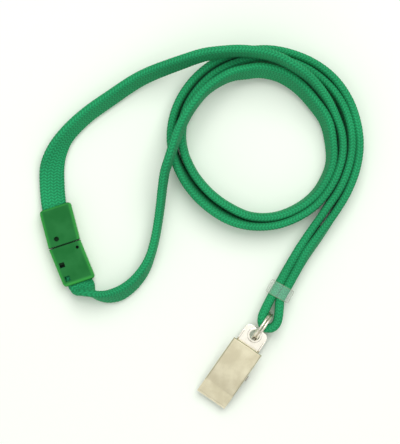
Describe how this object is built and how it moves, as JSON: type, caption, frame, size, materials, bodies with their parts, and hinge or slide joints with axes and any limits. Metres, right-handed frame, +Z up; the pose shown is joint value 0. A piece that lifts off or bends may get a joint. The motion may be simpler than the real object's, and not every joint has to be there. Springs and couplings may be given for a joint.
{
  "type": "lanyard badge holder",
  "caption": "Flat neck strap lying in a loose coil, with a breakaway clasp, a sliding bead, a split ring and a sprung bulldog clip.",
  "frame": {"origin": "on the surface that the lanyard lies on, under the middle of the box round its clasp, bead, ring and clip", "axes": "+Z up from the surface, +Y from the clip towards the far side of the coil, +X from the clasp towards the bead"},
  "size_m": [0.124, 0.139, 0.0204],
  "materials": {
    "strap_fabric": "knitted polyester, slight sheen",
    "clasp_plastic": "moulded, slightly translucent green",
    "clear_plastic": "clear moulded",
    "nickel_wire": "bright nickel plating",
    "nickel_plate": "satin nickel plating",
    "spring_steel": "plated wire"
  },
  "bodies": {
    "strap_and_socket": {"strap": "strap_fabric", "strap_plug_end": "strap_fabric", "clasp_socket_top_shell": "clasp_plastic", "clasp_socket_bottom_shell": "clasp_plastic"},
    "clasp_plug": {"clasp_plug_top_shell": "clasp_plastic", "clasp_plug_bottom_shell": "clasp_plastic"},
    "bead": {"slide_bead": "clear_plastic"},
    "ring": {"split_ring": "nickel_wire"},
    "clip_back": {"clip_back_jaw": "nickel_plate", "clip_pin": "spring_steel", "clip_spring": "spring_steel"},
    "clip_front": {"clip_cover": "nickel_plate"}
  },
  "joints": [
    {"name": "clasp_release", "type": "slide", "parent": "strap_and_socket", "child": "clasp_plug", "axis": [0.314, -0.9494, 0], "range_m": [0, 0.008], "deforming": ["strap_plug_end"]},
    {"name": "bead_slide", "type": "slide", "parent": "strap_and_socket", "child": "bead", "axis": [0.4894, 0.8721, 0], "range_m": [0, 0.006]},
    {"name": "ring_swing", "type": "hinge", "parent": "strap_and_socket", "child": "ring", "pos_m": [0.03973, -0.00312, 0.0062], "axis": [0, 0, 1], "range_deg": [-20, 20]},
    {"name": "clip_swing", "type": "hinge", "parent": "ring", "child": "clip_back", "pos_m": [0.03651, -0.00782, 0.00617], "axis": [-0.8251, 0.565, 0], "range_deg": [0, 90]},
    {"name": "jaw_open", "type": "hinge", "parent": "clip_back", "child": "clip_front", "pos_m": [0.0249, -0.02406, 0.0044], "axis": [-0.8251, 0.565, 0], "range_deg": [0, 20], "stiffness_Nm_per_rad": 0.03, "springref_deg": -45.84, "deforming": ["clip_spring"]}
  ]
}
